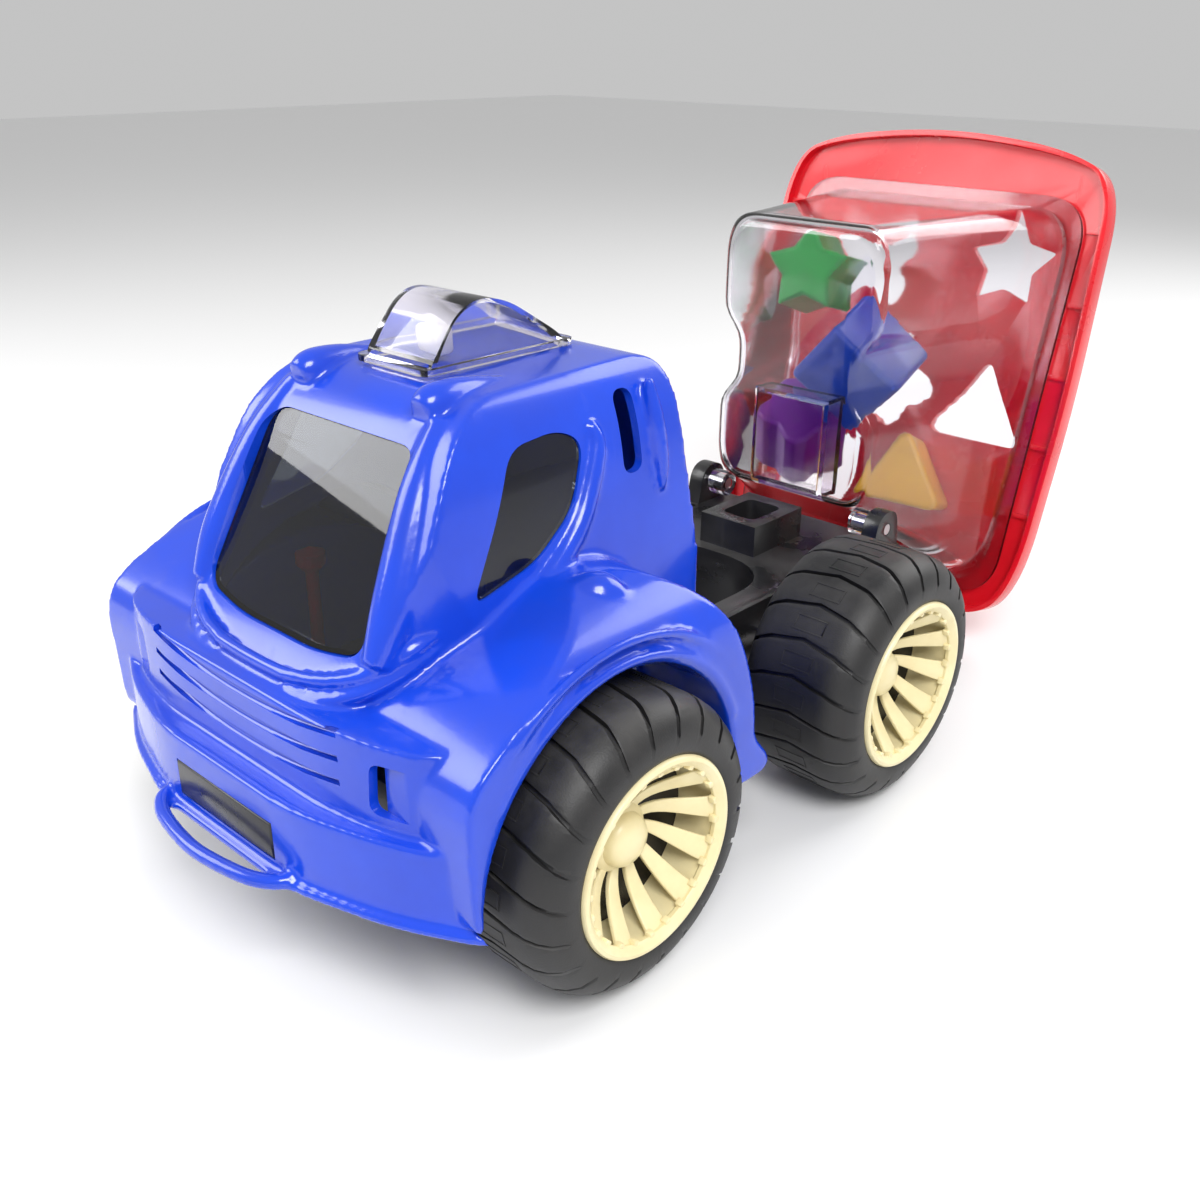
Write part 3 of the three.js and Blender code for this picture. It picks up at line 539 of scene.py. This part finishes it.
def makeCab():
    parts = [cabCore("cabShell", 0), fenderForm("fenders", 0), noseForm("nose", 0), bumper(0), lip(1.6, 42, 45)]
    parts += [headlight(side) for side in (-1, 1)]
    shell = parts[0]
    for part in parts[1:]:
        boolean(shell, part, "UNION")
    boolean(shell, wells(cab["arch"], cab["halfWidth"]), "DIFFERENCE")
    inside = fenderForm("inside", cab["wall"])
    boolean(inside, bumper(cab["wall"]), "UNION")
    boolean(inside, noseForm("noseInside", cab["wall"]), "UNION")
    boolean(inside, cabCore("coreInside", cab["wall"], 4), "UNION")
    boolean(inside, wells(cab["arch"] + cab["wall"], cab["halfWidth"] - cab["wall"]), "DIFFERENCE")
    boolean(shell, inside, "DIFFERENCE")
    extras = []
    for side in (-1, 1):
        for radius, x in ((60, 97.4), (66.5, 97.0)):
            extras.append(tube("archRidge", arcPoints(radius, side * x, 20, 146), 1.7))
        pod = [(side * 30.6, -16, 176), (side * 30.6, -11, 177.4), (side * 30.4, -3, 178.2), (side * 30, 8, 178.6),
               (side * 29.6, 20, 178.6)]
        extras.append(curvedTube("lampPod", pod, [4.4, 6.2, 5.8, 4.0, 1.4], 20))
        extras.append(curvedTube("windowRib", [
            (side * 50.6, 36, 166), (side * 52.3, 37, 158), (side * 54.8, 29, 141), (side * 56.6, 20, 131),
            (side * 58.6, 6, 122), (side * 59.4, -10, 116)], [1.5, 3.4, 3.9, 3.9, 3.4, 1.5], 16))
        extras.append(curvedTube("slotRib", [(side * 50.3, 64, 175), (side * 52.5, 65, 162), (side * 54.6, 66, 147),
                                             (side * 56, 66, 138)], [1.6, 3.3, 3.2, 1.4], 16))
        extras.append(curvedTube("fenderBump", [(side * 66, 8, 121), (side * 74, 15, 121), (side * 81, 21, 117)],
                                 [4, 7, 4], 20))
        extras.append(curvedTube("pillarSwell", [
            (side * 36, -12, 173), (side * 40, -25, 156), (side * 45, -40, 128), (side * 46, -49, 110)],
            [4, 6.2, 7, 5], 16))
    for depth, z in ((0, 104.5), (4, 99)):
        half = [(8, -62.6, -2.6), (20, -61.6, -2.2), (34, -58, -0.4), (45, -51.5, 3.4), (51.5, -41, 9), (55, -28, 15)]
        rail = [(-x, y, lift) for x, y, lift in reversed(half)] + half
        extras.append(curvedTube("sillRidge", [(x, y - depth * 0.6, z + lift) for x, y, lift in rail],
                                 [1] + [2.3] * (len(rail) - 2) + [1], 14))
    ring = [(-34, -74), (-34.5, -80), (-30, -84.6), (-20, -88.2), (0, -90.6), (20, -88.2), (30, -84.6),
            (34.5, -80), (34, -74)]
    extras.append(curvedTube("towRing", [(x, y, 44.8) for x, y in ring], [2.6] * len(ring), 16))
    shell = joined([shell] + extras)
    addModifier(shell, "REMESH", mode="VOXEL", voxel_size=cab["voxel"], use_smooth_shade=True)
    addModifier(shell, "SMOOTH", factor=0.6, iterations=5)
    print("cab form", len(shell.data.polygons))
    cutters = [windshieldShape(0)] + [sideWindowShape(side, 0) for side in (-1, 1)]
    for cutter in cutters + [headlightEye(side) for side in (-1, 1)]:
        boolean(shell, cutter, "DIFFERENCE")
    for side in (-1, 1):
        slot = roundedPath([(49, 146), (49, 173), (58, 173), (58, 146)], 4.4, 8)
        boolean(shell, prism("slot", slot, "X", *sorted((side * 40, side * 90))), "DIFFERENCE")
    for z in (78, 86, 94):
        groove = [(x, -70.4 + 0.0012 * x * x, z + 0.0012 * x * x) for x in range(-50, 51, 4)]
        boolean(shell, tube("grilleGroove", groove, 1.5, 10), "DIFFERENCE")
    boolean(shell, boxPiece("plateSeat", (-27, -92, 47.5), (27, -77.2, 61)), "DIFFERENCE")
    boolean(shell, boxPiece("frameWay", (-46, -47, 0), (46, 200, 66.4)), "DIFFERENCE")
    ratio = min(1, 185000 / sum(len(face.vertices) - 2 for face in shell.data.polygons))
    addModifier(shell, "DECIMATE", ratio=ratio)
    finishPiece(shell, "truck", "bluePlastic", ["cab_shell"], 55)
    print("cab shell", len(shell.data.polygons))


def makeWindows():
    for name, shape in [("windshield", windshieldShape(0.4))] + [
            (f"side_window_{label}", sideWindowShape(side, 0.4)) for label, side in sides.items()]:
        pane = cabCore("paneOutside", 0.6)
        boolean(pane, cabCore("paneInside", 2.6), "DIFFERENCE")
        boolean(pane, shape, "INTERSECT")
        pane.name = f"{name}Pane"
        # the panes get the dark painted-shade tint, standing in for the unlit cab inside
        finishPiece(pane, "truck", "paintedShadeGlazing", [name], 30)
    print("windows")


tyre = {"bore": 31, "radius": 50, "width": 49, "lugs": 22, "grooveWidth": 1.7, "grooveDepth": 3.2}


def grooveCutter(angle):
    path = [(1.5, 43, 7), (4, 48.5, 5), (11, 50.5, 1.5), (24.5, 50.8, -1.5), (38, 50.5, 1.5), (45, 48, 5), (49.5, 41, 9)]
    half, depth = tyre["grooveWidth"] / 2, tyre["grooveDepth"]
    points, faces = [], []
    for x, radius, turn in path:
        way = angle + math.radians(turn)
        for reach, shift in ((radius - depth, -half), (radius - depth, half), (radius + 3, half), (radius + 3, -half)):
            around = Vector((0, math.cos(way), math.sin(way))) * reach + Vector((0, -math.sin(way), math.cos(way))) * shift
            points.append(Vector((x, around.y, around.z)) / 1000)
    for ring in range(len(path) - 1):
        for step in range(4):
            a, b = ring * 4 + step, ring * 4 + (step + 1) % 4
            faces.append((a, b, b + 4, a + 4))
    faces += [(0, 1, 2, 3), tuple(range(len(points) - 4, len(points)))]
    return meshPiece("groove", points, faces)


def tyreModel():
    bore, radius, width = tyre["bore"], tyre["radius"], tyre["width"]
    profile = [(bore, 2), (bore, width - 4), (33.8, width - 0.8), (35.2, width - 0.2), (40.5, width - 0.6),
               (44.5, width - 2.6), (47.2, width - 5.5), (49, width - 9), (radius - 0.3, width - 13),
               (radius - 0.2, width / 2), (radius - 0.3, 10), (49, 6.5), (47, 3.4), (44, 1.2), (40, 0.2),
               (bore + 3, 0.2), (bore, 2)]
    piece = lathe("tyreModel", profile, 176)
    cutters = joined([grooveCutter(2 * math.pi * index / tyre["lugs"]) for index in range(tyre["lugs"])])
    faceOutwards(cutters)
    boolean(piece, cutters, "DIFFERENCE")
    frames = []
    for index in range(tyre["lugs"]):
        way = 2 * math.pi * (index + 0.5) / tyre["lugs"]
        for x0, x1, a0, a1 in ((18, 31, -0.062, -0.05), (18, 31, 0.05, 0.062), (18, 18.7, -0.062, 0.062),
                               (30.3, 31, -0.062, 0.062)):
            points = []
            for reach in (radius - 1, radius - 0.02):
                for x, turn in ((x0, a0), (x1, a0), (x1, a1), (x0, a1)):
                    points.append(Vector((x, reach * math.cos(way + turn), reach * math.sin(way + turn))) / 1000)
            frames.append(meshPiece("tread", points, [(0, 1, 2, 3), (4, 5, 6, 7), (0, 1, 5, 4), (1, 2, 6, 5),
                                                      (2, 3, 7, 6), (3, 0, 4, 7)]))
    relief = joined(frames)
    faceOutwards(relief)
    piece = joined([piece, relief])
    addModifier(piece, "BEVEL", width=0.0004, segments=2, limit_method="ANGLE", angle_limit=math.radians(45))
    return piece


hub = {"blades": 12, "rimOut": 33.5, "rimIn": 30.6, "face": 49.6}


def bladeModel(angle):
    points, faces, count = [], [], 10
    for step in range(count + 1):
        share = step / count
        radius = 31.4 - 21.5 * share
        depth = 47.2 - 15.5 * math.sin(share * math.pi / 2) ** 1.15
        way = angle + 0.34 * share * share
        half = (4.6 - 2.9 * share ** 0.8)
        centre = Vector((depth, radius * math.cos(way), radius * math.sin(way)))
        across = Vector((0, -math.sin(way), math.cos(way)))
        for lift, shift in ((0.9, -half), (0.9, half), (-0.9, half), (-0.9, -half)):
            bow = 0.7 if shift * lift > 0 else 0.0
            points.append((centre + across * shift + Vector((lift - bow * 0.4, 0, 0))) / 1000)
    for ring in range(count):
        for step in range(4):
            a, b = ring * 4 + step, ring * 4 + (step + 1) % 4
            faces.append((a, b, b + 4, a + 4))
    faces += [(0, 1, 2, 3), tuple(range(len(points) - 4, len(points)))]
    return meshPiece("blade", points, faces)


def hubModel():
    blades = joined([bladeModel(2 * math.pi * index / hub["blades"]) for index in range(hub["blades"])])
    faceOutwards(blades)
    addModifier(blades, "BEVEL", width=0.0005, segments=3, limit_method="ANGLE", angle_limit=math.radians(40))
    out, face = hub["rimOut"], hub["face"]
    rim = lathe("rim", [(30.8, 30), (30.8, 45), (29.6, 46), (29.4, 47.4), (30.4, 48.8), (31.8, face), (33.0, face - 0.2),
                        (out, face - 1), (out, face - 2.6), (31.9, 45), (30.9, 30), (30.8, 30)], 128)
    boss = lathe("boss", [(0.01, 30), (10.6, 30), (11.6, 31), (11.6, 32.4), (10.4, 33.4), (9.2, 33.9), (8.8, 36), (7.6, 37.6),
                          (5.2, 38.7), (2.6, 39.2), (0.01, 39.3)], 72)
    teeth = []
    for index in range(24):
        way = 2 * math.pi * (index + 0.5) / 24
        points = []
        for reach in (28.3, 30.6):
            for x, turn in ((45.4, -0.05), (48.0, -0.04), (48.0, 0.04), (45.4, 0.05)):
                points.append(Vector((x, reach * math.cos(way + turn), reach * math.sin(way + turn))) / 1000)
        teeth.append(meshPiece("tooth", points, [(0, 1, 2, 3), (4, 5, 6, 7), (0, 1, 5, 4), (1, 2, 6, 5), (2, 3, 7, 6),
                                                 (3, 0, 4, 7)]))
    tooth = joined(teeth)
    faceOutwards(tooth)
    addModifier(tooth, "BEVEL", width=0.0005, segments=2)
    return joined([blades, rim, boss, tooth])


def makeWheels():
    tyreMaster, hubMaster = tyreModel(), hubModel()
    # painted shade: a black dish behind the hub blades, standing in for the shade deep inside the wheel
    shadeMaster = lathe("shade", [(30.6, 30), (30.6, 28), (13, 17), (11, -4.5), (3.4, -4.5), (3.4, 14), (9, 26), (30.6, 31),
                                  (30.6, 30)], 96)
    for row, y in rows.items():
        for label, side in sides.items():
            turn = Matrix.Identity(4) if side > 0 else Matrix.Rotation(math.pi, 4, "Z")
            spin = Matrix.Rotation({("front", 1): 0.1, ("rear", 1): 0.32}.get((row, side), 0.2), 4, "X")
            place = Matrix.Translation(at(side * 65, y, 50)) @ turn @ spin
            wheel = f"{row}_{label}_wheel"
            for master, name, slot, material, nodes, angle in (
                    (tyreMaster, "tyreTread", "tyre", "tyreRubber", [f"tyre_{row}_{label}"], 35),
                    (hubMaster, "spokedHub", "cream_plastic", "creamPlastic",
                     [f"hub_{row}_{label}", f"axle_cap_{row}_{label}"], 35),
                    # the black dish is painted shade for the dark gaps between the hub blades
                    (shadeMaster, "paintedHubShade", "black_plastic", "blackPlastic", [], 35)):
                piece = copied(master, f"{name}_{row}_{label}")
                piece.data.transform(place)
                finishPiece(piece, wheel, material, nodes, angle)
    for master in (tyreMaster, hubMaster, shadeMaster):
        bpy.data.objects.remove(master)
    print("wheels")


tub = {"floor": 222, "bottom": 81, "top": 205, "mouthBottom": 30, "floorHalf": 42, "mouthHalf": 72, "wall": 2.2,
       "pinchZ": 141, "pinchDepth": 9.5}
lidSet = {"half": 89.8, "tilt": 14.4, "thick": 3.2, "y": 329, "z": 150, "bottom": -139, "top": 86}


def lidPlane(z):
    return lidSet["y"] + (z - lidSet["z"]) * math.tan(math.radians(lidSet["tilt"]))


def tubForm(name, inset, past, rounding):
    path = roundedPath(mirrored([(1, -1), (1, 1)]), 0.3, 10)
    dense = []
    for index, point in enumerate(path):
        following = path[(index + 1) % len(path)]
        parts = max(1, int((following - point).length / 0.06))
        dense += [point.lerp(following, part / parts) for part in range(parts)]
    depths = [step / 24 for step in range(25)]
    rings = [(0, rounding, 0)] + [(0, rounding * (1 - math.sin(a)), rounding * (1 - math.cos(a)))
                                  for a in (0.4, 0.8, 1.2, math.pi / 2)]
    rings += [(depth, 0, rounding * (1 - depth)) for depth in depths[1:]]
    points, faces = [], []
    for depth, shrink, forward in rings:
        for wide, high in dense:
            share = (high + 1) / 2
            lowest = tub["bottom"] + (tub["mouthBottom"] - tub["bottom"]) * depth + inset + shrink
            z = lowest + (tub["top"] - inset - shrink - lowest) * share
            half = tub["floorHalf"] + (tub["mouthHalf"] - tub["floorHalf"]) * depth ** 1.15 - inset - shrink
            fade = max(0, 1 - depth * 1.15)
            near = math.exp(-((z - tub["pinchZ"]) / 17) ** 4)
            half -= tub["pinchDepth"] * near * fade ** 0.8
            back = lidPlane(z) - (lidSet["thick"] + 0.3) / math.cos(math.radians(lidSet["tilt"])) + past
            y = tub["floor"] + inset + (back - tub["floor"] - inset) * depth + forward
            points.append(at(wide * half, y, z))
    count = len(dense)
    for ring in range(len(rings) - 1):
        for step in range(count):
            a, b = ring * count + step, ring * count + (step + 1) % count
            faces.append((a, b, b + count, a + count))
    faces += [tuple(range(count)), tuple(range(len(points) - count, len(points)))]
    piece = meshPiece(name, points, faces)
    editMesh(piece, lambda: bpy.ops.mesh.normals_make_consistent(inside=False))
    return piece


def intoLidFace(piece):
    lean = Matrix.Rotation(math.radians(-lidSet["tilt"]), 4, "X")
    centre = at(0, 0, 0)
    piece.data.transform(Matrix.Translation(at(0, lidSet["y"], lidSet["z"])) @ lean @ Matrix.Translation(-centre))
    return piece


def makeTub():
    outside = tubForm("binTub", 0, 0, 6)
    lean = math.cos(math.radians(lidSet["tilt"]))
    low, high = (tub["mouthBottom"] - lidSet["z"]) / lean, (tub["top"] - lidSet["z"]) / lean
    flange = roundedPath(mirrored([(tub["mouthHalf"] + 4, low - 4), (tub["mouthHalf"] + 4, high + 4)]), 22, 12)
    boolean(outside, intoLidFace(prism("flange", flange, "Y", -5.9, -3.5)), "UNION")
    boolean(outside, boxPiece("pocket", (-18, 200, 85), (18, 234, 127)), "DIFFERENCE")
    inside = tubForm("binRoom", tub["wall"], 12, 4)
    boolean(inside, boxPiece("pocketWall", (-20, 200, 83), (20, 236, 129)), "DIFFERENCE")
    boolean(outside, inside, "DIFFERENCE")
    for side in (-1, 1):
        lug = roundRod("lug", 6, *sorted((side * 36, side * 44)), 228, 76, 48)
        boolean(outside, lug, "UNION")
        boolean(outside, roundRod("lugBore", 2.8, *sorted((side * 34, side * 46)), 228, 76, 32), "DIFFERENCE")
    finishPiece(outside, "bin", "clearPlastic", ["bin_tub"], 40)
    print("tub", len(outside.data.polygons))


def star(size):
    return [Vector((math.sin(i * math.pi / 5), math.cos(i * math.pi / 5))) * size * (1 if i % 2 == 0 else 0.56)
            for i in range(10)]


def clover(size):
    return [Vector((math.cos(i * math.pi / 30), math.sin(i * math.pi / 30))) * size
            * (0.84 + 0.16 * math.cos(i * math.pi / 6)) for i in range(60)]


def butterfly(size):
    wing = [(0.1, -0.55), (0.75, -0.95), (1.05, -0.35), (0.62, 0), (1.1, 0.4), (0.8, 1.0), (0.12, 0.6)]
    return [Vector(point) * 1 for point in mirrored([(x * size, y * size) for x, y in wing])]


def square(size):
    return [Vector(point) for point in ((-size, -size), (size, -size), (size, size), (-size, size))]


def triangle(size):
    return [Vector((-size, -size * 0.8)), Vector((size, -size * 0.8)), Vector((0, size * 0.95))]


sorter = [(star, 19.5, 43.6, 29, 1.6), (butterfly, 22, -29.4, 22, 6.6), (triangle, 21, 46, -37, 6),
          (clover, 23.5, -4, -35, 0.4), (square, 20.5, -36, -89, 3)]


def makeLid():
    def rim(grow):
        return mirrored([(74 + grow, lidSet["bottom"] - grow), (lidSet["half"] - 2 + grow, lidSet["bottom"] + 24),
                         (lidSet["half"] + grow, -30), (lidSet["half"] - 4 + grow, 70), (60, lidSet["top"] - 5 + grow),
                         (18, lidSet["top"] + grow)])
    lid = prism("sorterLid", roundedPath(rim(0), 26, 14), "Y", -8, 2.2)
    boolean(lid, prism("front", roundedPath(rim(-3), 24, 14), "Y", 0, 5), "DIFFERENCE")
    boolean(lid, prism("back", roundedPath(rim(-2.6), 24.4, 14), "Y", -12, -lidSet["thick"]), "DIFFERENCE")
    ticks = []
    for v in (-85, -52, -19, 14, 47):
        for side in (-1, 1):
            low, high = sorted((side * 77, side * 86))
            ticks.append(boxPiece("tick", (low, -0.6, v - 1.1), (high, 1.0, v + 1.1)))
            ticks.append(boxPiece("tickBack", (low, -lidSet["thick"] - 1.2, v - 1.1), (high, -lidSet["thick"] + 0.5, v + 1.1)))
    boolean(lid, joined(ticks), "UNION")
    for shape, size, x, v, corner in sorter:
        collar = [Vector((a + x, b + v)) for a, b in roundedPath([tuple(p) for p in shape(size + 3.6)], corner + 1, 5)]
        hole = [Vector((a + x, b + v)) for a, b in roundedPath([tuple(p) for p in shape(size + 1.6)], corner, 5)]
        boolean(lid, prism("collar", collar, "Y", -lidSet["thick"] + 0.5, 1.0), "UNION")
        boolean(lid, prism("hole", hole, "Y", -40, 40), "DIFFERENCE")
    editMesh(lid, lambda: bpy.ops.mesh.dissolve_limited(angle_limit=math.radians(0.5)))
    addModifier(lid, "BEVEL", width=0.0009, segments=3, limit_method="ANGLE", angle_limit=math.radians(40))
    intoLidFace(lid)
    finishPiece(lid, "lid", "redPlastic", ["bin_lid"], 35)
    print("lid", len(lid.data.polygons))


softPieces = [
    ("chassis_frame", "chassisFrame", 0.8, "truck", "black_plastic", "blackPlastic"),
    ("number_plate", "numberPlate", 0.4, "truck", "black_plastic", "blackPlastic"),
    ("beacon_lamp", "beaconLamp", 0.8, "truck", "white_plastic", "whitePlastic"),
    ("block_square", "squareBlock", 1.2, "bin", "blue_block", "blueBlock"),
    ("block_star", "starBlock", 0.8, "bin", "green_block", "greenBlock"),
    ("block_clover", "cloverBlock", 0.8, "bin", "purple_block", "purpleBlock"),
    ("block_triangle", "triangleBlock", 1.2, "bin", "yellow_block", "yellowBlock"),
]


def makeSoftPieces():
    for node, name, width, body, slot, material in softPieces:
        finishPiece(softened(node, name, width), body, material, [node], 40)
    print("small pieces")


def makeBeacon():
    low = cab["roof"] + 1.3

    def profile(inset):
        return roundedPath([(-1 + inset, low - inset * 3), (7 + inset, low + 10), (14, low + 18 - inset),
                            (22, low + 21 - inset), (34, low + 18.5 - inset), (58 - inset, low + 4 - inset),
                            (60 - inset, low - inset * 3)], 7, 8)
    hood = prism("beaconHood", profile(0), "X", -16, 16)
    foot = prism("foot", roundedPath(mirrored([(18, -3), (18, 64)]), 5, 6), "Z", low, low + 2)
    boolean(hood, foot, "UNION")
    addModifier(hood, "BEVEL", width=0.0012, segments=3, limit_method="ANGLE", angle_limit=math.radians(40))
    boolean(hood, prism("room", profile(1.6), "X", -14.4, 14.4), "DIFFERENCE")
    boolean(hood, boxPiece("lowRoom", (-14.4, 1, 179), (14.4, 57, 184.3)), "DIFFERENCE")
    finishPiece(hood, "truck", "clearPlastic", ["beacon_cover"], 35)


def dressCadNodes():
    plain = {"gear_lever": "redPlastic"}
    for node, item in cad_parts.items():
        if node.startswith(("cab_screw", "axle_washer", "hinge_pin")) or node.endswith("_axle"):
            plain[node] = "zincSteel"
    for node, material in plain.items():
        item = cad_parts[node]
        item.data.materials.clear()
        item.data.materials.append(materials[material])


finishGroup = plasticFinishGroup()
materials = {name: plasticMaterial(name) for name in finishes}
materials.update({name: clearMaterial(name) for name in clearFinishes})
materials["zincSteel"] = steelMaterial()
makeCamera()
makeStudio()
makeCab()
makeWindows()
makeWheels()
makeTub()
makeLid()
makeBeacon()
makeSoftPieces()
dressCadNodes()
deselectAll()
